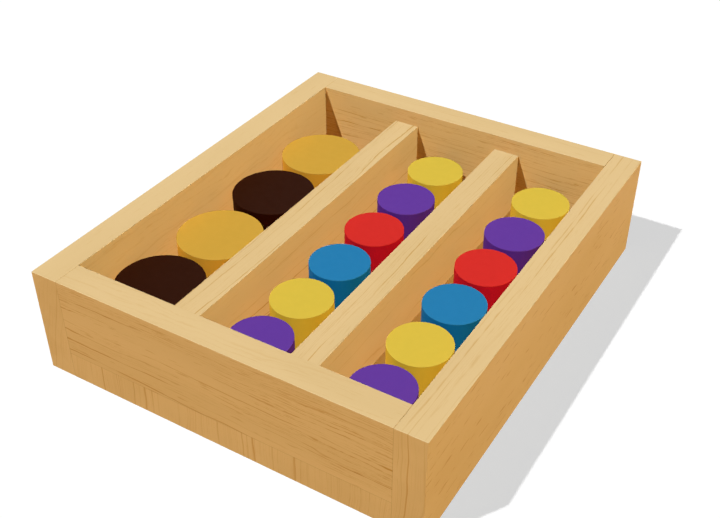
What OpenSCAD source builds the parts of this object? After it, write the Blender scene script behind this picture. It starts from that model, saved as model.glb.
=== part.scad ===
// Coffee capsule organizer: an open wooden tray with three equal lengthwise compartments,
// one row of large capsules on the left and two rows of small capsules beside it.
// Millimetres. The origin is the centre of the underside, +X to the right of the front,
// +Y to the back and +Z up.

/* [Boards] */
// Thickness of the two side boards
side_t = 18; // [14:0.5:30]
// Thickness of the front and back boards
end_t = 18; // [14:0.5:30]
// Thickness of the bottom board
bottom_t = 18; // [14:0.5:30]
// Thickness of the two dividers
divider_t = 17.5; // [12:0.5:30]
// How far the top of a divider lies below the rim
divider_drop = 10.5; // [0:0.5:14]
// Width of the chamfer that breaks every board's edges
edge_chamfer = 0.4; // [0.1:0.1:1.5]

/* [Compartments] */
// Free space on each side of the widest capsule
side_gap = 2.75; // [1:0.05:10]
// Free space between the front board and the first capsule of a row
front_gap = 4; // [0.5:0.1:20]
// Free space between the last capsule of the longest row and the back board
back_gap = 10; // [0.5:0.1:40]
// Free space between two capsules of a row
capsule_gap = 3.2; // [0.5:0.1:12]
// Height of the rim above the tallest capsule
headroom = 20.4; // [14:0.1:60]

/* [Capsules] */
// Diameter of a large capsule
large_d = 53.3; // [42:0.1:70]
// Height of a large capsule
large_h = 30.6; // [24:0.1:60]
// Large capsules in the left compartment
large_count = 4; // [2:1:4]
// Diameter of a small capsule
small_d = 37; // [28:0.1:60]
// Height of a small capsule
small_h = 28.9; // [20:0.1:50]
// Small capsules in the middle compartment and in the right one
small_count = 6; // [4:1:6]
// Wall of a capsule's cup
cup_wall = 0.8; // [0.5:0.1:2]
// Floor of a capsule's cup
cup_floor = 1; // [0.5:0.1:2]
// Radius around the foot of a capsule's cup
foot_r = 1.2; // [0.4:0.1:2]
// Thickness of the lid sealed on a cup
lid_t = 0.6; // [0.3:0.1:1.5]
// Gap between the ground coffee and the cup's wall
coffee_clearance = 0.1; // [0.05:0.05:0.5]
// Free height between the ground coffee and the lid
coffee_headspace = 2; // [0.5:0.5:6]

/* [Dowels] */
// Diameter of a dowel
dowel_d = 8; // [6:0.5:10]
// How far a dowel reaches into the end or edge of a board
dowel_reach = 19; // [12:1:22]
// Wood left between a dowel hole in a board's face and the far face
dowel_skin = 6; // [3:0.5:8]
// Radial play of a dowel in its hole
dowel_play = 0.05; // [0.02:0.01:0.1]
// Room for glue beyond each end of a dowel
glue_room = 1; // [0.5:0.5:2]
// Chamfer on both ends of a dowel
dowel_chamfer = 1; // [0.5:0.1:2]
// Distance of the corner dowels from the upper and lower edges of an end board
corner_inset = 12; // [8:0.5:13]
// Distance of the outermost base dowels from the ends of the tray
base_inset = 40; // [30:1:50]
// Base dowels in each side board
base_count = 4; // [2:1:5]

/* [Hidden] */
$fn = 96;
foot_steps = 6;

// Sizes of the compartments and of the whole tray
row_names = ["left", "middle", "right"];
compartment_w = max(large_d, small_d) + 2 * side_gap;
compartment_l = front_gap + max(row_l(0), row_l(1)) + back_gap;
compartment_d = max(large_h, small_h) + headroom;
inner_w = 3 * compartment_w + 2 * divider_t;
tray_l = compartment_l + 2 * end_t;
tray_h = bottom_t + compartment_d;
divider_h = compartment_d - divider_drop;
divider_x = (compartment_w + divider_t) / 2;
end_y = (compartment_l + end_t) / 2;

// Sizes and colours of the capsules, by row from the left
function is_large(row) = row == 0;
function capsule_count(row) = is_large(row) ? large_count : small_count;
function capsule_d(row) = is_large(row) ? large_d : small_d;
function capsule_h(row) = is_large(row) ? large_h : small_h;
function pitch(row) = capsule_d(row) + capsule_gap;
function row_l(row) = capsule_count(row) * pitch(row) - capsule_gap;
function cup_h(row) = capsule_h(row) - lid_t;
function coffee_r(row) = capsule_d(row) / 2 - cup_wall - coffee_clearance;
function coffee_h(row) = cup_h(row) - cup_floor - coffee_headspace;

wood_colour = [0.82, 0.63, 0.37];
dowel_colour = [0.87, 0.74, 0.53];
coffee_colour = [0.24, 0.14, 0.08];
large_colours = [[0.20, 0.09, 0.05], [0.83, 0.64, 0.24]];
small_colours = [[0.40, 0.24, 0.62], [0.86, 0.75, 0.27], [0.16, 0.49, 0.69], [0.85, 0.19, 0.17]];
function capsule_colour(row, i) =
    let (colours = is_large(row) ? large_colours : small_colours)
    colours[(i - 1) % len(colours)];

// Foot of capsule number i of a row, counted from the front
function capsule_foot(row, i) = [
    (row - 1) * (compartment_w + divider_t),
    -compartment_l / 2 + front_gap + capsule_d(row) / 2 + (i - 1) * pitch(row),
    bottom_t
];

// Names of the nodes
capsule_pieces = ["cup", "coffee", "lid"];
function capsule_node(row, i, piece) = str(row_names[row], "_capsule_", i, "_", piece);
tray_nodes = [
    "left_side",
    "right_side",
    "front_board",
    "back_board",
    "bottom_board",
    "left_divider",
    "right_divider",
    "corner_dowels",
    "base_dowels",
    "end_board_dowels",
    "divider_dowels"
];
capsule_nodes = [
    for (row = [0:2])
        for (i = [1:capsule_count(row)])
            for (piece = capsule_pieces)
                capsule_node(row, i, piece)
];

// Each dowel is [middle of the joint, turn from +Z into the end or edge, thickness of the face board].
// Turns that lay a dowel along an axis, forwards for 1 and backwards for -1
function along_x(s) = [0, 90 * s, 0];
function along_y(s) = [-90 * s, 0, 0];
function along_z(s) = [90 - 90 * s, 0, 0];

// Sides to the ends of the front and back boards
corner_heights = [bottom_t + corner_inset, tray_h - corner_inset];
corner_places = [
    for (y = [-end_y, end_y])
        for (z = corner_heights)
            for (s = [-1, 1])
                [[s * inner_w / 2, y, z], along_x(-s), side_t]
];

// Sides to the long edges of the bottom board
base_span = tray_l - 2 * base_inset;
base_places = [
    for (k = [0:base_count - 1])
        for (s = [-1, 1])
            [
                [s * inner_w / 2, base_span * (k / (base_count - 1) - 1 / 2), bottom_t / 2],
                along_x(-s),
                side_t
            ]
];

// Bottom board to the lower edges of the front and back boards
end_board_x = divider_x + divider_t / 2 + compartment_w / 4;
end_board_places = [
    for (y = [-end_y, end_y])
        for (x = [-end_board_x, 0, end_board_x])
            [[x, y, bottom_t], along_z(1), bottom_t]
];

// Front and back boards to the dividers' ends, and bottom board to the dividers' lower edges
divider_places = concat(
    [
        for (x = [-divider_x, divider_x])
            for (s = [-1, 1])
                [[x, s * compartment_l / 2, bottom_t + divider_h / 2], along_y(-s), end_t]
    ],
    [
        for (x = [-divider_x, divider_x])
            for (s = [-1, 1])
                [[x, s * compartment_l / 4, bottom_t], along_z(1), bottom_t]
    ]
);

// Block with its lower corner at the origin and a chamfer along each of its twelve edges
module chamfered_outline(w, h) {
    c = edge_chamfer;
    polygon([[c, 0], [w - c, 0], [w, c], [w, h - c], [w - c, h], [c, h], [0, h - c], [0, c]]);
}

module block(size) {
    intersection() {
        linear_extrude(size.z) chamfered_outline(size.x, size.y);
        translate([0, size.y, 0]) rotate([90, 0, 0])
            linear_extrude(size.y) chamfered_outline(size.x, size.z);
        rotate([90, 0, 90])
            linear_extrude(size.x) chamfered_outline(size.y, size.z);
    }
}

// Board with the middle of its underside at a place, drilled for the dowels at the listed places
module board(size, at, dowel_places) {
    color(wood_colour)
    difference() {
        translate(at - [size.x / 2, size.y / 2, 0]) block(size);
        for (place = dowel_places) dowel_hole(place);
    }
}

module dowel_hole(place) {
    depth = place[2] - dowel_skin;
    translate(place[0]) rotate(place[1]) translate([0, 0, -depth])
        cylinder(h = depth + dowel_reach + glue_room, d = dowel_d + 2 * dowel_play);
}

module dowel(place) {
    depth = place[2] - dowel_skin - glue_room;
    l = depth + dowel_reach;
    r = dowel_d / 2;
    c = dowel_chamfer;
    translate(place[0]) rotate(place[1]) translate([0, 0, -depth])
        rotate_extrude() polygon([[0, 0], [r - c, 0], [r, c], [r, l - c], [r - c, l], [0, l]]);
}

module dowels(places) {
    color(dowel_colour) for (place = places) dowel(place);
}

// Boards
module side_board(s) {
    board([side_t, tray_l, tray_h], [s * (inner_w + side_t) / 2, 0, 0],
          concat(corner_places, base_places));
}

module left_side() {
    side_board(-1);
}

module right_side() {
    side_board(1);
}

module end_board(s) {
    board([inner_w, end_t, compartment_d], [0, s * end_y, bottom_t],
          concat(corner_places, end_board_places, divider_places));
}

module front_board() {
    end_board(-1);
}

module back_board() {
    end_board(1);
}

module bottom_board() {
    board([inner_w, tray_l, bottom_t], [0, 0, 0],
          concat(base_places, end_board_places, divider_places));
}

module divider(s) {
    board([divider_t, compartment_l, divider_h], [s * divider_x, 0, bottom_t], divider_places);
}

module left_divider() {
    divider(-1);
}

module right_divider() {
    divider(1);
}

// Dowels, one group for each kind of joint
module corner_dowels() {
    dowels(corner_places);
}

module base_dowels() {
    dowels(base_places);
}

module end_board_dowels() {
    dowels(end_board_places);
}

module divider_dowels() {
    dowels(divider_places);
}

// Capsules: a straight round cup on the tray's floor, filled with ground coffee
// and sealed with a flat lid
module capsule_cup(row, i) {
    r = capsule_d(row) / 2;
    h = cup_h(row);
    fillet = min(foot_r, 2 * min(cup_wall, cup_floor));
    foot = [
        for (k = [0:foot_steps])
            let (a = 90 * k / foot_steps)
            [r - fillet + fillet * sin(a), fillet - fillet * cos(a)]
    ];
    inside = [[r, h], [r - cup_wall, h], [r - cup_wall, cup_floor], [0, cup_floor]];
    color(capsule_colour(row, i))
    translate(capsule_foot(row, i))
        rotate_extrude() polygon(concat([[0, 0]], foot, inside));
}

module capsule_coffee(row, i) {
    color(coffee_colour)
    translate(capsule_foot(row, i) + [0, 0, cup_floor])
        cylinder(h = coffee_h(row), r = coffee_r(row));
}

module capsule_lid(row, i) {
    color(capsule_colour(row, i))
    translate(capsule_foot(row, i) + [0, 0, cup_h(row)])
        cylinder(h = lid_t, d = capsule_d(row));
}

left_side();
right_side();
front_board();
back_board();
bottom_board();
left_divider();
right_divider();
corner_dowels();
base_dowels();
end_board_dowels();
divider_dowels();
for (row = [0:2]) for (i = [1:capsule_count(row)]) {
    capsule_cup(row, i);
    capsule_coffee(row, i);
    capsule_lid(row, i);
}
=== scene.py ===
"""Dress a coffee capsule organizer: an open wooden tray that holds three rows of capsules.

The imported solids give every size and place, in metres. The boards, cups and lids are modelled
again here with softened edges, and the dowels and the ground coffee keep their solids.
"""

import logging
import math
from dataclasses import dataclass, replace
from enum import Enum

import bmesh
import bpy
from mathutils import Matrix, Vector


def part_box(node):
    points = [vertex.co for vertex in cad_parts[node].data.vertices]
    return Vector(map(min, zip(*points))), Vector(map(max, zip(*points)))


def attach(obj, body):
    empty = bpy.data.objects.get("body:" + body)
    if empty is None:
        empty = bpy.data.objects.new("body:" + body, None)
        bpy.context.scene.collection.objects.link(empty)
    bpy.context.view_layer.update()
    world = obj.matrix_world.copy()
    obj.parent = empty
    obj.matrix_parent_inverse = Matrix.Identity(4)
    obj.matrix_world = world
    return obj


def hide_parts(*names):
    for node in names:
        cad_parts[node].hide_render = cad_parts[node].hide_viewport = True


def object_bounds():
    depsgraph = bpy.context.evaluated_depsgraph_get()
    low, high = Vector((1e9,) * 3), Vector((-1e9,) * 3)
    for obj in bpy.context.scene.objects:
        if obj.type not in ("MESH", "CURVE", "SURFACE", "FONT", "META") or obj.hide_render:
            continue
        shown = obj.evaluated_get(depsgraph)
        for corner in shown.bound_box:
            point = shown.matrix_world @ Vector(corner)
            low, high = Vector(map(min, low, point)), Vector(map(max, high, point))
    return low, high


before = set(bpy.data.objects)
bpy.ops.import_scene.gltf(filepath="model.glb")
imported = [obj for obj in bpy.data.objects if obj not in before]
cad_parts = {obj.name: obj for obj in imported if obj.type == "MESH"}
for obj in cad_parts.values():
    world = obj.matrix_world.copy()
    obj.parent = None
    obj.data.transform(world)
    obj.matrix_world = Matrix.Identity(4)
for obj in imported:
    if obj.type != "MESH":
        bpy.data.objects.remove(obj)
CAD_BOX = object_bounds()

MILLIMETRE = 0.001
SAME_PLACE = 0.001 * MILLIMETRE
JUST_PAST = 1.0 * MILLIMETRE
TRAY_BODY = "tray"

Colour = tuple[int, int, int]
Light = tuple[float, float, float, float]
Limits = tuple[float, float]
Triple = tuple[float, float, float]
Socket = bpy.types.NodeSocket
Input = Socket | float | tuple[float, ...]

log = logging.getLogger("capsule_organizer")


def linear(colour: Colour) -> Light:
    """Turn a colour as a screen shows it into the light that a shader works with.

    The curve is the one that screens use: straight near black, and bent above that.

    Args:
        colour: Red, green and blue from 0 to 255.
    Returns:
        The same colour as linear red, green, blue and a full alpha.
    """
    full, knee, slope, offset, power = 255, 0.04045, 12.92, 0.055, 2.4
    levels = [level / full for level in colour]
    bent = [s / slope if s <= knee else ((s + offset) / (1 + offset)) ** power for s in levels]
    return (*bent, 1.0)


def grey(level: float) -> Light:
    """Give a plain grey of one linear level, or white at a level of one."""
    return (level, level, level, 1.0)


class Wiring:
    """Short calls that add nodes to one node tree and join them."""

    def __init__(self, tree: bpy.types.NodeTree) -> None:
        """Keep the tree that the nodes go into."""
        self.tree = tree

    def add(self, kind: str, inputs: dict[str | int, Input], **settings: object) -> bpy.types.Node:
        """Add a node and set it up.

        Args:
            kind: The node's type, without the prefix that all shader nodes share.
            inputs: What each input takes: another node's output, or a plain value.
            settings: The node's own properties.
        Returns:
            The new node.
        """
        node = self.tree.nodes.new("ShaderNode" + kind)
        for name, value in settings.items():
            setattr(node, name, value)
        for name, value in inputs.items():
            self.feed(node.inputs[name], value)
        return node

    def feed(self, taker: Socket, value: Input) -> None:
        """Give an input another node's output, or a plain value."""
        if isinstance(value, Socket):
            self.tree.links.new(value, taker)
        else:
            taker.default_value = value

    def math(self, operation: str, *values: Input) -> Socket:
        """Work out one number from a few."""
        return self.add("Math", dict(enumerate(values)), operation=operation).outputs[0]

    def total(self, *values: Input) -> Socket:
        """Add up several numbers."""
        added = values[0]
        for value in values[1:]:
            added = self.math("ADD", added, value)
        return added

    def stretch(self, vector: Socket, factors: Input) -> Socket:
        """Multiply a vector's parts by their own factors."""
        return self.add("VectorMath", {0: vector, 1: factors}, operation="MULTIPLY").outputs[0]

    def dot(self, vector: Socket, factors: Input) -> Socket:
        """Multiply a vector's parts by their own factors and add them up."""
        inputs = {0: vector, 1: factors}
        return self.add("VectorMath", inputs, operation="DOT_PRODUCT").outputs["Value"]

    def ramp(self, value: Socket, low: Input, high: Input) -> Socket:
        """Ease a value from 0 at low to 1 at high."""
        inputs = {"Value": value, "From Min": low, "From Max": high}
        return self.add("MapRange", inputs, interpolation_type="SMOOTHSTEP").outputs[0]

    def noise(self, vector: Socket, pitch: Triple, detail: float = 1.0) -> Socket:
        """Read a cloudy field of values around one half.

        Args:
            vector: The place to read it at.
            pitch: How many clouds the field has in a metre, each way.
            detail: How many finer layers of cloud it holds.
        Returns:
            The value.
        """
        inputs = {"Vector": self.stretch(vector, pitch), "Scale": 1.0, "Detail": detail}
        return self.add("TexNoise", inputs).outputs[0]

    def swing(self, vector: Socket, pitch: Triple, reach: Input) -> Socket:
        """Read a cloudy field of values that swing about nought."""
        return self.math("MULTIPLY", self.math("SUBTRACT", self.noise(vector, pitch), 0.5), reach)

    def blend(self, factor: Input, under: Input, over: Input, mode: str = "MIX") -> Socket:
        """Lay one colour over another.

        Args:
            factor: How much of the upper colour shows.
            under: The lower colour.
            over: The upper colour.
            mode: How the two combine.
        Returns:
            The combined colour.
        """
        inputs = {0: factor, 6: under, 7: over}
        return self.add("Mix", inputs, data_type="RGBA", blend_type=mode).outputs[2]

    def calm(self, colour: Socket, thrown: Input) -> Socket:
        """Let a surface throw light of a plain colour on what stands round it."""
        bounced = self.add("LightPath", {}).outputs["Is Diffuse Ray"]
        return self.blend(bounced, colour, thrown)

    def shade(self, colour: Input, masks: dict[Socket, Colour]) -> Socket:
        """Darken a colour where each mask is strong, by the shade that goes with it."""
        for mask, shade in masks.items():
            colour = self.blend(mask, colour, linear(shade), "MULTIPLY")
        return colour


class Group:
    """A shader node group under construction."""

    def __init__(self, name: str, inputs: dict[str, str], outputs: dict[str, str]) -> None:
        """Make the group and its sockets.

        Args:
            name: The group's name.
            inputs: The type of each named input.
            outputs: The type of each named output.
        """
        self.tree = bpy.data.node_groups.new(name, "ShaderNodeTree")
        for way, sockets in (("INPUT", inputs), ("OUTPUT", outputs)):
            for label, kind in sockets.items():
                self.tree.interface.new_socket(label, in_out=way, socket_type="NodeSocket" + kind)
        self.wires = Wiring(self.tree)
        self.given = self.tree.nodes.new("NodeGroupInput").outputs
        self.taken = self.tree.nodes.new("NodeGroupOutput").inputs


@dataclass(frozen=True)
class Strands:
    """Fine lines between the rings.

    Count is how many fill a ring, width is a share of the room that each has, breaks says how many
    times in a metre one fades out, and level how strongly they show.
    """

    count: float
    width: float
    breaks: float
    level: float


@dataclass(frozen=True)
class WoodFigure:
    """What sawn wood shows: ring lines, strands between them, flecks and slow changes of tone.

    A pitch counts the clouds of a field in a metre, along the grain and across it both ways. Sway,
    quiver, uneven and ragged are how far the lines wander, in rings or in strands. Limits are the
    two values of a field between which a mask rises from nought to one.
    """

    drift_pitch: Triple = (5.0, 16.0, 16.0)
    sway_pitch: Triple = (26.0, 45.0, 45.0)
    sway: float = 0.6
    quiver_pitch: Triple = (240.0, 110.0, 110.0)
    quiver: float = 0.08
    uneven_pitch: Triple = (4.0, 0.6, 0.0)
    uneven: float = 1.4
    ragged_pitch: Triple = (22.0, 1.2, 0.0)
    ragged: float = 2.2
    ring_breaks: float = 9.0
    strands: tuple[Strands, ...] = (Strands(3.3, 0.28, 20.0, 1.0), Strands(5.7, 0.4, 40.0, 0.7))
    patch_pitch: Triple = (14.0, 80.0, 80.0)
    patch_limits: Limits = (0.36, 0.56)
    fleck_pitch: Triple = (75.0, 800.0, 800.0)
    fleck_limits: Limits = (0.66, 0.74)
    tone_pitch: Triple = (7.0, 35.0, 35.0)
    tone_detail: float = 2.0
    row_gap: float = 5.3
    dashes: float = 8.0
    dash_limits: Limits = (0.35, 0.6)
    dash_depth: float = 0.6
    fade_limits: Limits = (0.34, 0.58)
    thinnest: float = 0.3
    swell: float = 0.8
    sharp_side: float = 0.3

    def lines(self, wires: Wiring, height: Socket, along: Socket, width: Input, breaks: float) -> Socket:
        """Draw a line through each whole step of a height, sharp on one side and soft on the other.

        A line is thinner and weaker where it fades, and uneven like a row of dashes.

        Args:
            wires: The group's wiring.
            height: The values that the lines follow.
            along: The way along the lines, in metres.
            width: A line's width, as a share of a step.
            breaks: How many times in a metre a line fades out.
        Returns:
            One on the strongest lines, and nought between the lines.
        """
        step = wires.math("FLOOR", height)
        away = wires.math("SUBTRACT", wires.math("FRACT", height), 0.5)
        row = wires.math("MULTIPLY", step, self.row_gap)
        place = wires.add("CombineXYZ", {"X": along, "Y": row}).outputs[0]
        dashes = wires.ramp(wires.noise(place, (self.dashes * breaks, 1.0, 0.0)), *self.dash_limits)
        fading = wires.ramp(wires.noise(place, (breaks, 1.0, 0.0)), *self.fade_limits)
        unbroken = wires.math("MULTIPLY_ADD", dashes, self.dash_depth, 1 - self.dash_depth)
        fading = wires.math("MULTIPLY", fading, unbroken)
        share = wires.math("MULTIPLY_ADD", fading, self.swell, self.thinnest)
        reach = wires.math("MULTIPLY", share, width)
        sharp = wires.ramp(away, wires.math("MULTIPLY", width, -self.sharp_side), 0.0)
        line = wires.math("MULTIPLY", sharp, wires.ramp(away, reach, 0.0))
        chance = wires.add("TexWhiteNoise", {"W": step}, noise_dimensions="1D").outputs[0]
        strength = wires.math("MULTIPLY", fading, wires.ramp(chance, 0.0, 1.0))
        return wires.math("MULTIPLY", line, strength)

    def build(self) -> bpy.types.ShaderNodeTree:
        """Make the group that draws the figure.

        Returns:
            The group, which takes a place in metres with the grain along X.
        """
        group = Group(
            "wood_figure",
            {
                "Vector": "Vector",
                "Ring Spread": "Vector",
                "Ring Width": "Float",
                "Drift": "Float",
                "Fine": "Float",
            },
            {"Lines": "Float", "Flecks": "Float", "Tone": "Float"},
        )
        wires, place = group.wires, group.given["Vector"]
        along = wires.add("SeparateXYZ", {0: place}).outputs["X"]
        layers = wires.dot(place, group.given["Ring Spread"])
        drift = wires.swing(place, self.drift_pitch, group.given["Drift"])
        sway = wires.swing(place, self.sway_pitch, self.sway)
        quiver = wires.swing(place, self.quiver_pitch, self.quiver)
        height = wires.total(layers, drift, sway, quiver)
        sheet = wires.add("CombineXYZ", {"X": along, "Y": layers}).outputs[0]
        rings = wires.total(height, wires.swing(sheet, self.uneven_pitch, self.uneven))
        drawn = self.lines(wires, rings, along, group.given["Ring Width"], self.ring_breaks)
        ragged = wires.swing(sheet, self.ragged_pitch, self.ragged)
        fine = 0.0
        for strands in self.strands:
            closer = wires.total(wires.math("MULTIPLY", height, strands.count), ragged)
            threads = self.lines(wires, closer, along, strands.width, strands.breaks)
            fine = wires.math("MAXIMUM", fine, wires.math("MULTIPLY", threads, strands.level))
        patches = wires.ramp(wires.noise(place, self.patch_pitch), *self.patch_limits)
        shown = wires.math("MULTIPLY", patches, group.given["Fine"])
        lines = wires.math("MAXIMUM", drawn, wires.math("MULTIPLY", fine, shown))
        flecks = wires.ramp(wires.noise(place, self.fleck_pitch), *self.fleck_limits)
        wires.feed(group.taken["Lines"], lines)
        wires.feed(group.taken["Flecks"], flecks)
        wires.feed(group.taken["Tone"], wires.noise(place, self.tone_pitch, self.tone_detail))
        return group.tree


def new_material(name: str) -> tuple[bpy.types.Material, Wiring, bpy.types.Node]:
    """Start a material.

    Args:
        name: The material's name.
    Returns:
        The material, its wiring and its shader.
    """
    made = bpy.data.materials.new(name)
    made.use_nodes = True
    return made, Wiring(made.node_tree), made.node_tree.nodes["Principled BSDF"]


class Grain(Enum):
    """The way that a piece's grain runs."""

    ALONG_X = (1.0, 0.0, 0.0)
    ALONG_Y = (0.0, 1.0, 0.0)
    ALONG_Z = (0.0, 0.0, 1.0)

    def turn(self) -> Triple:
        """Give the turn that lays the grain along X."""
        x, y, z = self.value
        return (0.0, z * math.pi / 2, -y * math.pi / 2)


@dataclass(frozen=True)
class Cut:
    """How a piece was sawn from the tree.

    The shift says where in the tree it was, in metres. The ring spread counts the rings in a
    metre along the grain and across it both ways, the ring width is a share of a ring, and drift
    is how far the rings wander, in rings. Shown and flecks say how strongly the lines and the
    short dark dashes show on the faces square to X, to Y and to Z, and glued has a one for each
    of these ways in which the piece ends at a glue line. Fine is the share of the lines between
    the rings that shows.
    """

    grain: Grain
    shift: Triple
    ring_spread: Triple
    shown: Triple = (0.85, 0.85, 0.85)
    glued: Triple = (0.0, 0.0, 0.0)
    flecks: Triple = (0.2, 0.2, 0.2)
    ring_width: float = 0.15
    drift: float = 2.5
    fine: float = 1.0


@dataclass(frozen=True)
class WoodFinish:
    """Pale wood, with painted light and shade in its colours: the faces that look up are painted
    lighter, the faces square to X outside are painted darker, and the faces that look into the tray are
    painted paler.

    Face is the colour of the faces square to Y and flank of those square to X. A thrown colour is
    what a face throws on its neighbours, and a shade is what a mask multiplies the colour by.
    """

    figure: bpy.types.ShaderNodeTree
    slot: str = "boards"
    # These colours, for faces square to Y, square to X, looking into the tray and looking up, are lit
    # and shaded copies of one wood: painted light and shade.
    face: Colour = (229, 175, 102)
    flank: Colour = (219, 167, 95)
    inside: Colour = (234, 196, 126)
    inside_flank: Colour = (232, 192, 130)
    painted_light_top: Colour = (224, 194, 142)
    line_shade: Colour = (227, 202, 147)
    fleck_shade: Colour = (234, 217, 182)
    tone_shade: Colour = (250, 249, 246)
    glue_shade: Colour = (232, 224, 206)
    thrown: Colour = (120, 120, 120)
    inside_thrown: Colour = (221, 172, 97)
    end_thrown: Colour = (110, 105, 95)
    top_thrown: Colour = (170, 104, 62)
    glue_width: float = 0.35 * MILLIMETRE
    up_limits: Limits = (0.0, 0.25)
    aside_limits: Limits = (0.45, 0.85)
    tone_limits: Limits = (0.35, 0.7)
    roughness: float = 0.5
    roughness_swing: float = 0.2
    gloss: float = 0.1
    relief: float = 0.05 * MILLIMETRE
    relief_strength: float = 0.06

    def glue_line(self, wires: Wiring, place: Socket, node: str, glued: Triple) -> Socket:
        """Mark the glue line round the ends of a piece.

        Args:
            wires: The material's wiring.
            place: The place on the piece, in metres.
            node: The piece's node, for its box.
            glued: One for each axis along which the piece ends at a glue line.
        Returns:
            One at the glue line and nought elsewhere.
        """
        low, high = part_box(node)
        away = wires.add("VectorMath", {0: place, 1: (low + high) / 2}, operation="SUBTRACT").outputs[0]
        away = wires.add("VectorMath", {0: away}, operation="ABSOLUTE").outputs[0]
        past = {0: away, 1: (high - low) / 2}
        past = wires.add("VectorMath", past, operation="SUBTRACT").outputs[0]
        mark = 0.0
        for way, ends in zip(wires.add("SeparateXYZ", {0: past}).outputs, glued):
            near = wires.ramp(way, -self.glue_width, -self.glue_width / 2)
            mark = wires.total(mark, wires.math("MULTIPLY", near, ends))
        return mark

    def drawn(self, wires: Wiring, place: Socket, cut: Cut) -> bpy.types.NodeOutputs:
        """Draw the figure of one piece.

        Args:
            wires: The material's wiring.
            place: The place on the piece, in metres.
            cut: How the piece was sawn.
        Returns:
            The figure's lines, flecks and tone.
        """
        mapping = {"Vector": place, "Rotation": cut.grain.turn(), "Location": cut.shift}
        inputs = {
            "Vector": wires.add("Mapping", mapping).outputs[0],
            "Ring Spread": cut.ring_spread,
            "Ring Width": cut.ring_width,
            "Drift": cut.drift,
            "Fine": cut.fine,
        }
        figure = wires.tree.nodes.new("ShaderNodeGroup")
        figure.node_tree = self.figure
        for label, value in inputs.items():
            wires.feed(figure.inputs[label], value)
        return figure.outputs

    def material(self, node: str, cut: Cut, inner: bool) -> bpy.types.Material:
        """Make the wood of one piece.

        Args:
            node: The piece's node.
            cut: How the piece was sawn.
            inner: Whether it is for the faces that look into the tray.
        Returns:
            The material.
        """
        name = node + "_inside" if inner else node
        # Painted light: the inner faces take their own paler colours, which stand in for the dimmer
        # light inside the tray.
        face, flank, thrown = (self.face, self.flank, self.thrown)
        if inner:
            face, flank, thrown = (self.inside, self.inside_flank, self.inside_thrown)
        if inner and cut.grain is Grain.ALONG_X:
            thrown = self.end_thrown
        made, wires, shader = new_material(name)
        where = wires.add("TexCoord", {}).outputs
        figure = self.drawn(wires, where["Object"], cut)
        facing = wires.add("VectorMath", {0: where["Normal"]}, operation="ABSOLUTE").outputs[0]
        lines = wires.math("MULTIPLY", figure["Lines"], wires.dot(facing, cut.shown))
        flecks = wires.math("MULTIPLY", figure["Flecks"], wires.dot(facing, cut.flecks))
        # Painted light and shade: a face that looks up takes the lighter colour for up faces, and a face
        # square to X its own colour, standing in for how the lamps fall on it.
        up = wires.ramp(wires.add("SeparateXYZ", {0: where["Normal"]}).outputs["Z"], *self.up_limits)
        aside = wires.ramp(wires.add("SeparateXYZ", {0: facing}).outputs["X"], *self.aside_limits)
        upright = wires.blend(aside, linear(face), linear(flank))
        bare = wires.blend(up, upright, linear(self.painted_light_top))
        shades = {
            wires.ramp(figure["Tone"], *self.tone_limits): self.tone_shade,
            flecks: self.fleck_shade,
            lines: self.line_shade,
        }
        if any(cut.glued):
            shades[self.glue_line(wires, where["Object"], node, cut.glued)] = self.glue_shade
        calm = wires.blend(up, linear(thrown), linear(self.top_thrown))
        wires.feed(shader.inputs["Base Color"], wires.calm(wires.shade(bare, shades), calm))
        rough = wires.math("MULTIPLY_ADD", figure["Tone"], self.roughness_swing, self.roughness)
        wires.feed(shader.inputs["Roughness"], rough)
        shader.inputs["Specular IOR Level"].default_value = self.gloss
        relief = {
            "Height": wires.math("MAXIMUM", lines, flecks),
            "Strength": self.relief_strength,
            "Distance": self.relief,
        }
        wires.feed(shader.inputs["Normal"], wires.add("Bump", relief, invert=True).outputs[0])
        return made


@dataclass(frozen=True)
class CapsuleFinish:
    """One colour of capsule: a moulded cup and a lid, the lid's colour painted paler as light on the top
    and the cup's painted deeper as shade on the sides.
    """

    slot: str
    lid: Colour
    cup: Colour
    cloud_shade: Colour = (253, 253, 253)
    thrown: Colour = (150, 112, 64)
    cloud_pitch: Triple = (240.0, 240.0, 240.0)
    cloud_detail: float = 3.0
    cloud_limits: Limits = (0.3, 0.7)
    roughness: float = 0.5
    roughness_swing: float = 0.2
    gloss: float = 0.03

    def material(self, name: str, colour: Colour) -> bpy.types.Material:
        """Make the plastic of a cup or a lid, which throws light of a calm colour on the wood.

        Args:
            name: The material's name.
            colour: Its colour.
        Returns:
            The material.
        """
        made, wires, shader = new_material(name)
        where = wires.add("TexCoord", {}).outputs["Object"]
        cloud = wires.noise(where, self.cloud_pitch, self.cloud_detail)
        shades = {wires.ramp(cloud, *self.cloud_limits): self.cloud_shade}
        shaded = wires.shade(linear(colour), shades)
        wires.feed(shader.inputs["Base Color"], wires.calm(shaded, linear(self.thrown)))
        rough = wires.math("MULTIPLY_ADD", cloud, self.roughness_swing, self.roughness)
        wires.feed(shader.inputs["Roughness"], rough)
        shader.inputs["Specular IOR Level"].default_value = self.gloss
        return made


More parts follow.
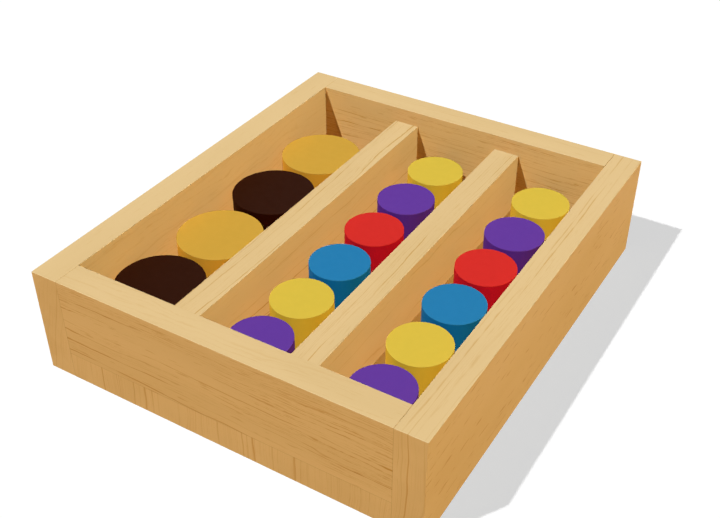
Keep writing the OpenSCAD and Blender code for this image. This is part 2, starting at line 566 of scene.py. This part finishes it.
@dataclass(frozen=True)
class CoffeeFinish:
    """Dark ground coffee, with paler and darker grounds side by side, and the gaps between the grounds
    painted darker as painted shade.
    """

    bean: Colour = (66, 38, 20)
    gap_shade: Colour = (120, 110, 100)
    pale_shade: Colour = (232, 214, 190)
    grounds: float = 1100.0
    crack_limits: Limits = (0.3, 0.75)
    pale_limits: Limits = (0.4, 0.9)
    roughness: float = 0.7
    roughness_swing: float = 0.2
    relief: float = 0.25 * MILLIMETRE
    relief_strength: float = 0.6

    def material(self, name: str) -> bpy.types.Material:
        """Make the coffee of one capsule.

        Args:
            name: The material's name.
        Returns:
            The material.
        """
        made, wires, shader = new_material(name)
        where = wires.add("TexCoord", {}).outputs["Object"]
        cells = wires.add("TexVoronoi", {"Vector": where, "Scale": self.grounds})
        chance = wires.add("SeparateColor", {0: cells.outputs["Color"]}).outputs[0]
        # Painted shade: the colour darkens towards the gaps between grounds, and the same mask also
        # gives the grounds their relief.
        gaps_shade_and_relief = wires.ramp(cells.outputs["Distance"], *self.crack_limits)
        shades = {wires.ramp(chance, *self.pale_limits): self.pale_shade, gaps_shade_and_relief: self.gap_shade}
        wires.feed(shader.inputs["Base Color"], wires.shade(linear(self.bean), shades))
        rough = wires.math("MULTIPLY_ADD", chance, self.roughness_swing, self.roughness)
        wires.feed(shader.inputs["Roughness"], rough)
        relief = {"Height": gaps_shade_and_relief, "Strength": self.relief_strength, "Distance": self.relief}
        wires.feed(shader.inputs["Normal"], wires.add("Bump", relief, invert=True).outputs[0])
        return made


class CapsuleTone(Enum):
    """The colours that the capsules come in."""

    # Each tone gives a lid colour painted paler and a cup colour painted deeper: painted light on the
    # tops and painted shade on the sides.
    BROWN = CapsuleFinish("capsule_brown", (43, 17, 7), (38, 9, 2))
    GOLD = CapsuleFinish("capsule_gold", (202, 160, 63), (205, 151, 47))
    PURPLE = CapsuleFinish("capsule_purple", (98, 58, 159), (83, 40, 138))
    YELLOW = CapsuleFinish("capsule_yellow", (214, 188, 70), (211, 177, 54))
    BLUE = CapsuleFinish("capsule_blue", (38, 124, 179), (12, 104, 163))
    RED = CapsuleFinish("capsule_red", (209, 46, 42), (181, 17, 36))


def finished(shape: bmesh.types.BMesh, name: str, smooth: bool = True) -> bpy.types.Object:
    """Turn a built shape into an object.

    Args:
        shape: The mesh under construction, which is freed.
        name: The new object's name.
        smooth: Whether its faces shade as one round surface.
    Returns:
        The object.
    """
    bmesh.ops.remove_doubles(shape, verts=shape.verts, dist=SAME_PLACE)
    bmesh.ops.recalc_face_normals(shape, faces=shape.faces)
    for face in shape.faces:
        face.smooth = smooth
    mesh = bpy.data.meshes.new(name)
    shape.to_mesh(mesh)
    shape.free()
    piece = bpy.data.objects.new(name, mesh)
    bpy.context.collection.objects.link(piece)
    return piece


def solids(node: str) -> list[tuple[Vector, Vector]]:
    """Find the separate solids in a node.

    Args:
        node: The node's name.
    Returns:
        The lowest and the highest corner of each solid.
    """
    shape = bmesh.new()
    shape.from_mesh(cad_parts[node].data)
    bmesh.ops.remove_doubles(shape, verts=shape.verts, dist=SAME_PLACE)
    boxes = []
    left = dict.fromkeys(shape.verts)
    while left:
        reached = [left.popitem()[0]]
        for vert in reached:
            for edge in vert.link_edges:
                other = edge.other_vert(vert)
                if other in left:
                    del left[other]
                    reached.append(other)
        spans = list(zip(*(vert.co for vert in reached)))
        boxes.append((Vector([min(span) for span in spans]), Vector([max(span) for span in spans])))
    shape.free()
    return boxes


@dataclass(frozen=True)
class Drill:
    """The drill that makes room for the dowels and their glue."""

    play: float = 0.05 * MILLIMETRE
    glue_room: float = 1.0 * MILLIMETRE
    sides: int = 48

    def path(self, nodes: list[str]) -> bpy.types.Object:
        """Make the shape of all the holes.

        Args:
            nodes: The sets of dowels.
        Returns:
            One object with a round bar for each dowel.
        """
        shape = bmesh.new()
        for low, high in [box for node in nodes for box in solids(node)]:
            size = high - low
            longest = max(size)
            way = Vector([float(length == longest) for length in size])
            turn = way.to_track_quat("Z", "Y").to_matrix().to_4x4()
            bmesh.ops.create_cone(
                shape,
                cap_ends=True,
                segments=self.sides,
                radius1=min(size) / 2 + self.play,
                radius2=min(size) / 2 + self.play,
                depth=longest + 2 * self.glue_room,
                matrix=Matrix.Translation((low + high) / 2) @ turn,
            )
        return finished(shape, "drill_path")

    def drill(self, piece: bpy.types.Object, path: bpy.types.Object) -> None:
        """Cut the holes in a piece and keep the cut shape.

        Args:
            piece: The board, which already has its materials.
            path: The shape of all the holes.
        """
        holes = piece.modifiers.new("dowel_holes", "BOOLEAN")
        holes.object = path
        holes.solver = "EXACT"
        whole = piece.data
        drawn = piece.evaluated_get(bpy.context.evaluated_depsgraph_get())
        piece.data = bpy.data.meshes.new_from_object(drawn)
        piece.modifiers.clear()
        bpy.data.meshes.remove(whole)


@dataclass(frozen=True)
class Board:
    """One board of the tray, with its free arrises softened and its joints close.

    The colour given for the face that looks up, where it isn't the finish's own, is painted light,
    standing in for how the lamps fall on that face.
    """

    node: str
    cut: Cut
    painted_light_top: Colour | None = None
    arris: float = 0.25 * MILLIMETRE
    arris_steps: int = 4

    def build(self, boards: list[str]) -> bpy.types.Object:
        """Make the board in its place.

        Args:
            boards: The nodes of all the boards, to tell a joint from a free arris.
        Returns:
            The board.
        """
        low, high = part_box(self.node)
        others = [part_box(node) for node in boards if node != self.node]
        shape = bmesh.new()
        place = Matrix.Translation((low + high) / 2) @ Matrix.Diagonal((*(high - low), 1.0))
        bmesh.ops.create_cube(shape, size=1.0, matrix=place)
        shape.normal_update()
        for face in shape.faces:
            face.material_index = int(self.looks_in(face))
        softness = shape.edges.layers.float.new("bevel_weight_edge")
        for edge in shape.edges:
            edge[softness] = float(not self.joins(edge, others))
        piece = finished(shape, self.node + "_wood", smooth=False)
        soft = piece.modifiers.new("softened_arrises", "BEVEL")
        soft.limit_method = "WEIGHT"
        soft.width = self.arris
        soft.segments = self.arris_steps
        return piece

    def joins(self, edge: bmesh.types.BMEdge, others: list[tuple[Vector, Vector]]) -> bool:
        """Tell whether another board lies against an edge.

        Args:
            edge: An edge of this board.
            others: The lowest and highest corners of the other boards.
        Returns:
            True where a point just past either face or past both is in another board.
        """
        middle = (edge.verts[0].co + edge.verts[1].co) / 2
        first, second = (face.normal * JUST_PAST for face in edge.link_faces)
        for past in (first + second, first - second, second - first):
            point = middle + past
            for low, high in others:
                if all(a < p < b for a, p, b in zip(low, point, high)):
                    return True
        return False

    def looks_in(self, face: bmesh.types.BMFace) -> bool:
        """Tell whether a face looks into the tray, and not out of it."""
        point = face.calc_center_median() + face.normal * JUST_PAST
        return all(a < p < b for a, p, b in zip(CAD_BOX[0], point, CAD_BOX[1]))

    def dress(self, piece: bpy.types.Object, wood: WoodFinish) -> None:
        """Give the board its wood, one material for the outer faces and one for the inner faces, whose
        colours are painted light and shade, and put it in the tray.

        Args:
            piece: The board as built.
            wood: The finish of the boards.
        """
        finish = replace(wood, painted_light_top=self.painted_light_top) if self.painted_light_top else wood
        for inner in (False, True):
            piece.data.materials.append(finish.material(self.node, self.cut, inner))
        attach(piece, TRAY_BODY)
        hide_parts(self.node)


@dataclass(frozen=True)
class Dowels:
    """One set of turned dowels, hidden in the joints."""

    node: str
    cut: Cut

    def dress(self, wood: WoodFinish) -> bpy.types.Object:
        """Give the dowels their bare wood.

        Args:
            wood: The finish of the dowels.
        Returns:
            The set of dowels.
        """
        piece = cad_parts[self.node]
        piece.material_slots[0].material = wood.material(self.node, self.cut, inner=True)
        return piece


@dataclass
class Capsule:
    """One sealed capsule: a moulded cup, its coffee and its lid."""

    name: str
    tone: CapsuleTone
    sides: int = 96
    wall: float = 0.8 * MILLIMETRE
    floor: float = 1.0 * MILLIMETRE
    foot_radius: float = 1.2 * MILLIMETRE
    foot_steps: int = 5
    edge_radius: float = 0.15 * MILLIMETRE
    edge_steps: int = 3
    flatness: int = 100

    def build_cup(self) -> bpy.types.Object:
        """Spin the cup from half of its section.

        Returns:
            The cup.
        """
        low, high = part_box(self.name + "_cup")
        centre = (low + high) / 2
        radius = (high.x - low.x) / 2
        shape = bmesh.new()
        section = [
            (0.0, low.z),
            (radius, low.z),
            (radius, high.z),
            (radius - self.wall, high.z),
            (radius - self.wall, low.z + self.floor),
            (0.0, low.z + self.floor),
        ]
        points = [shape.verts.new((centre.x + r, centre.y, z)) for r, z in section]
        for first, second in zip(points, points[1:]):
            shape.edges.new((first, second))
        bmesh.ops.bevel(
            shape,
            geom=[points[1]],
            offset=self.foot_radius,
            affect="VERTICES",
            segments=self.foot_steps,
            profile=0.5,
            material=-1,
        )
        bmesh.ops.spin(
            shape,
            geom=shape.verts[:] + shape.edges[:],
            cent=(centre.x, centre.y, 0.0),
            axis=(0.0, 0.0, 1.0),
            angle=math.tau,
            steps=self.sides,
            use_merge=True,
        )
        return self.weighted(finished(shape, self.name + "_moulded_cup"))

    def weighted(self, piece: bpy.types.Object) -> bpy.types.Object:
        """Keep a piece's broad faces flat beside its rounded edges."""
        piece.modifiers.new("flat_faces", "WEIGHTED_NORMAL").weight = self.flatness
        return piece

    def build_lid(self) -> bpy.types.Object:
        """Press the lid from a disc.

        Returns:
            The lid.
        """
        low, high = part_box(self.name + "_lid")
        centre = (low + high) / 2
        radius = (high.x - low.x) / 2
        shape = bmesh.new()
        bmesh.ops.create_cone(
            shape,
            cap_ends=True,
            segments=self.sides,
            radius1=radius,
            radius2=radius,
            depth=high.z - low.z,
            matrix=Matrix.Translation(centre),
        )
        rises = {edge: abs(edge.verts[0].co.z - edge.verts[1].co.z) for edge in shape.edges}
        rims = [edge for edge, rise in rises.items() if rise < SAME_PLACE]
        bmesh.ops.bevel(
            shape,
            geom=rims,
            offset=self.edge_radius,
            affect="EDGES",
            segments=self.edge_steps,
            profile=0.5,
            material=-1,
        )
        return self.weighted(finished(shape, self.name + "_pressed_lid"))

    def pour(self, coffee: CoffeeFinish) -> bpy.types.Object:
        """Fill the cup with ground coffee.

        Args:
            coffee: The finish of the coffee.
        Returns:
            The coffee.
        """
        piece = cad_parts[self.name + "_coffee"]
        piece.material_slots[0].material = coffee.material(piece.name)
        return piece

    def dress(self, cup: bpy.types.Object, lid: bpy.types.Object) -> None:
        """Colour the capsule and put its pieces on its own body.

        Args:
            cup: The cup as built.
            lid: The lid as built.
        """
        finish = self.tone.value
        # The cup takes the deeper colour and the lid the paler one: painted shade on the sides and
        # painted light on the top.
        for piece, part, colour in ((cup, "cup", finish.cup), (lid, "lid", finish.lid)):
            piece.data.materials.append(finish.material(f"{self.name}_{part}", colour))
            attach(piece, self.name)
            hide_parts(f"{self.name}_{part}")


@dataclass(frozen=True)
class Studio:
    """The camera, the lamps and the pale floor.

    A way is the way that a lamp's light travels, and a level what it gives a white face square to
    it. The turn and the spread are in degrees, the lens in millimetres, places and sizes in metres.
    """

    camera_place: Triple = (0.26756, -0.43983, 0.41138)
    camera_turn: Triple = (53.7916, 0.0125, 31.2968)
    lens: float = 51.933
    sun_way: Triple = (0.304, 0.502, -0.81)
    sun_level: float = 0.92
    sun_spread: float = 1.2
    fill_way: Triple = (-0.95, 0.0, -0.3)
    fill_level: float = 0.59
    fill_tint: Triple = (1.0, 0.92, 0.67)
    base_way: Triple = (0.0, 0.0, -1.0)
    base_level: float = 0.26
    base_tint: Triple = (1.0, 0.93, 0.6)
    sky_level: float = 0.12
    floor_size: float = 8.0
    floor_grey: float = 0.5
    floor_glow: float = 0.595
    floor_thrown: float = 0.4

    def build_camera(self) -> None:
        """Set the camera where the picture was taken from."""
        camera = bpy.data.cameras.new("camera")
        camera.lens = self.lens
        holder = bpy.data.objects.new("camera", camera)
        holder.location = self.camera_place
        holder.rotation_euler = [math.radians(turn) for turn in self.camera_turn]
        bpy.context.collection.objects.link(holder)
        bpy.context.scene.camera = holder

    def build_lamp(self, name: str, way: Triple, level: float) -> bpy.types.Object:
        """Hang a lamp far away.

        Args:
            name: The lamp's name.
            way: The way that its light travels.
            level: The level that it gives a white face square to it.
        Returns:
            The lamp.
        """
        light = bpy.data.lights.new(name, "SUN")
        light.energy = level * math.pi
        light.angle = math.radians(self.sun_spread)
        lamp = bpy.data.objects.new(name, light)
        lamp.rotation_euler = Vector(way).to_track_quat("-Z", "Y").to_euler()
        bpy.context.collection.objects.link(lamp)
        return lamp

    def build_lights(self) -> None:
        """Hang the key lamp, the three lamps without shadows and the even sky.

        The fill lamp warms the faces that look right, the capsule lamp stands in for the key lamp on
        the capsules, and the base lamp brightens the floors of the compartments.
        """
        self.build_lamp("key_lamp", self.sun_way, self.sun_level)
        fill = self.build_lamp("fill_lamp", self.fill_way, self.fill_level)
        fill.data.color = self.fill_tint
        even_key = self.build_lamp("capsule_lamp", self.sun_way, self.sun_level)
        base = self.build_lamp("base_lamp", self.base_way, self.base_level)
        base.data.color = self.base_tint
        for lamp in (fill, even_key, base):
            lamp.data.use_shadow = False
            lamp.visible_glossy = False
        world = bpy.data.worlds.new("sky")
        bpy.context.scene.world = world
        world.use_nodes = True
        wires = Wiring(world.node_tree)
        seen = self.seen(wires)
        even = world.node_tree.nodes["Background"]
        even.inputs["Color"].default_value = grey(self.sky_level)
        white = wires.add("Background", {"Color": grey(1.0)})
        both = wires.add("MixShader", {0: seen, 1: even.outputs[0], 2: white.outputs[0]})
        wires.tree.links.new(both.outputs[0], world.node_tree.nodes["World Output"].inputs["Surface"])

    def seen(self, wires: Wiring) -> Socket:
        """Tell the rays that show the background, straight or in gloss or glass, from the rest."""
        path = wires.add("LightPath", {}).outputs
        mirrored = wires.math("MAXIMUM", path["Is Glossy Ray"], path["Is Transmission Ray"])
        return wires.math("MAXIMUM", path["Is Camera Ray"], mirrored)

    def aim(self, lamp: str, pieces: list[bpy.types.Object]) -> None:
        """Let a lamp light only the given pieces."""
        lit = bpy.data.collections.new(lamp + "_pieces")
        for piece in pieces:
            lit.objects.link(piece)
        bpy.data.objects[lamp].light_linking.receiver_collection = lit

    def build_floor(self) -> bpy.types.Object:
        """Lay the pale floor, which shows white but for the shadow.

        Returns:
            The floor.
        """
        shape = bmesh.new()
        bmesh.ops.create_grid(shape, x_segments=1, y_segments=1, size=self.floor_size / 2)
        floor = finished(shape, "floor")
        made, wires, shader = new_material("pale_floor")
        wires.tree.nodes.remove(shader)
        white = {"Color": grey(1.0)}
        shine = wires.add("Emission", white | {"Strength": self.floor_glow}).outputs[0]
        matt = wires.add("BsdfDiffuse", {"Color": grey(self.floor_grey)}).outputs[0]
        seen = wires.add("AddShader", {0: shine, 1: matt}).outputs[0]
        thrown = wires.add("Emission", white | {"Strength": self.floor_thrown}).outputs[0]
        bounced = wires.add("LightPath", {}).outputs["Is Diffuse Ray"]
        both = wires.add("MixShader", {0: bounced, 1: seen, 2: thrown}).outputs[0]
        wires.feed(made.node_tree.nodes["Material Output"].inputs["Surface"], both)
        floor.data.materials.append(made)
        return floor


LEFT_SIDE_CUT = Cut(
    Grain.ALONG_Y,
    shift=(0.3, 0.1, 0.2),
    ring_spread=(0.0, 280.0, 60.0),
    shown=(0.38, 0.9, 0.08),
)
RIGHT_SIDE_CUT = Cut(
    Grain.ALONG_Y,
    shift=(0.13, 5.388, 3.233),
    ring_spread=(0.0, 320.0, 14.0),
    shown=(0.2, 1.5, 0.95),
    flecks=(0.9, 0.0, 0.2),
    ring_width=0.3,
    drift=4.5,
    fine=0.4,
)
FRONT_CUT = Cut(
    Grain.ALONG_X,
    shift=(4.903, 2.261, 3.762),
    ring_spread=(0.0, 100.0, 180.0),
    shown=(1.2, 1.8, 0.42),
    glued=(1.0, 0.0, 0.0),
    flecks=(0.2, 0.6, 0.2),
    drift=3.5,
    fine=0.75,
)
BACK_CUT = Cut(
    Grain.ALONG_X,
    shift=(2.2, 0.4, 1.9),
    ring_spread=(0.0, 110.0, 220.0),
    shown=(1.0, 1.4, 0.18),
    glued=(1.0, 0.0, 0.0),
    flecks=(0.2, 0.6, 0.2),
)
BOTTOM_CUT = Cut(
    Grain.ALONG_Y,
    shift=(3.12, 5.58, 5.36),
    ring_spread=(0.0, 230.0, 15.0),
    shown=(1.0, 0.85, 0.8),
    glued=(1.0, 0.0, 1.0),
    ring_width=0.24,
)
LEFT_DIVIDER_CUT = Cut(
    Grain.ALONG_Y,
    shift=(4.21, 1.79, 2.73),
    ring_spread=(0.0, 200.0, 110.0),
    shown=(2.2, 0.8, 2.6),
    glued=(0.0, 1.0, 0.0),
    ring_width=0.1,
    fine=0.2,
)
RIGHT_DIVIDER_CUT = Cut(
    Grain.ALONG_Y,
    shift=(2.81, 3.79, 4.73),
    ring_spread=(0.0, 200.0, 110.0),
    shown=(0.5, 0.8, 2.6),
    glued=(0.0, 1.0, 0.0),
    ring_width=0.1,
    fine=0.2,
)
# Painted light on the compartment floors: the colour of the bottom board's faces that look up, darker
# than the other up-face colours because the base lamp brightens them.
COMPARTMENT_FLOOR = (212, 176, 120)
BOARDS = (
    Board("left_side", LEFT_SIDE_CUT),
    Board("right_side", RIGHT_SIDE_CUT),
    Board("front_board", FRONT_CUT),
    Board("back_board", BACK_CUT),
    Board("bottom_board", BOTTOM_CUT, painted_light_top=COMPARTMENT_FLOOR),
    Board("left_divider", LEFT_DIVIDER_CUT),
    Board("right_divider", RIGHT_DIVIDER_CUT),
)

DOWEL_WOOD = (226, 197, 150)
DOWEL_RINGS = (0.0, 300.0, 60.0)
ACROSS = Cut(Grain.ALONG_X, (0.6, 0.8, 0.1), DOWEL_RINGS)
UPRIGHT = Cut(Grain.ALONG_Z, (1.6, 1.8, 0.3), DOWEL_RINGS)
ENDWISE = Cut(Grain.ALONG_Y, (2.6, 0.5, 0.7), DOWEL_RINGS)
DOWELS = (
    Dowels("corner_dowels", ACROSS),
    Dowels("base_dowels", ACROSS),
    Dowels("end_board_dowels", UPRIGHT),
    Dowels("divider_dowels", ENDWISE),
)

LARGE_TONES = (CapsuleTone.BROWN, CapsuleTone.GOLD)
SMALL_TONES = (CapsuleTone.PURPLE, CapsuleTone.YELLOW, CapsuleTone.BLUE, CapsuleTone.RED)
ROWS = {"left": LARGE_TONES, "middle": SMALL_TONES, "right": SMALL_TONES}


def capsules() -> list[Capsule]:
    """List the capsules, each row from the front."""
    found = []
    for row, tones in ROWS.items():
        count = sum(name.startswith(row) and name.endswith("_lid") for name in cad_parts)
        for number in range(count):
            found.append(Capsule(f"{row}_capsule_{number + 1}", tones[number % len(tones)]))
    return found


def main() -> None:
    """Build the studio and then every piece of the organizer."""
    logging.basicConfig(level=logging.INFO, format="%(message)s")
    bpy.context.scene.view_settings.view_transform = "Standard"
    bpy.context.scene.cycles.use_light_tree = False
    studio = Studio()
    studio.build_camera()
    studio.build_lights()
    floor = studio.build_floor()
    wood = WoodFinish(WoodFigure().build())
    tray, stored = [], []
    drill = Drill()
    path = drill.path([dowels.node for dowels in DOWELS])
    for board in BOARDS:
        piece = board.build([other.node for other in BOARDS])
        board.dress(piece, wood)
        drill.drill(piece, path)
        tray.append(piece)
        log.info("board %s", piece.name)
    bpy.data.meshes.remove(path.data)
    bare = WoodFinish(wood.figure, "dowels", inside=DOWEL_WOOD)
    for dowels in DOWELS:
        tray.append(dowels.dress(bare))
        log.info("dowels %s", dowels.node)
    coffee = CoffeeFinish()
    for capsule in capsules():
        cup, lid, grounds = capsule.build_cup(), capsule.build_lid(), capsule.pour(coffee)
        capsule.dress(cup, lid)
        stored += [cup, lid, grounds]
        log.info("capsule %s, %s and %s", cup.name, lid.name, grounds.name)
    studio.aim("key_lamp", [floor, *tray])
    studio.aim("capsule_lamp", stored)
    studio.aim("fill_lamp", tray + stored)
    studio.aim("base_lamp", [piece for piece in tray if piece.name.startswith("bottom_board")])


if __name__ == "__main__":
    main()
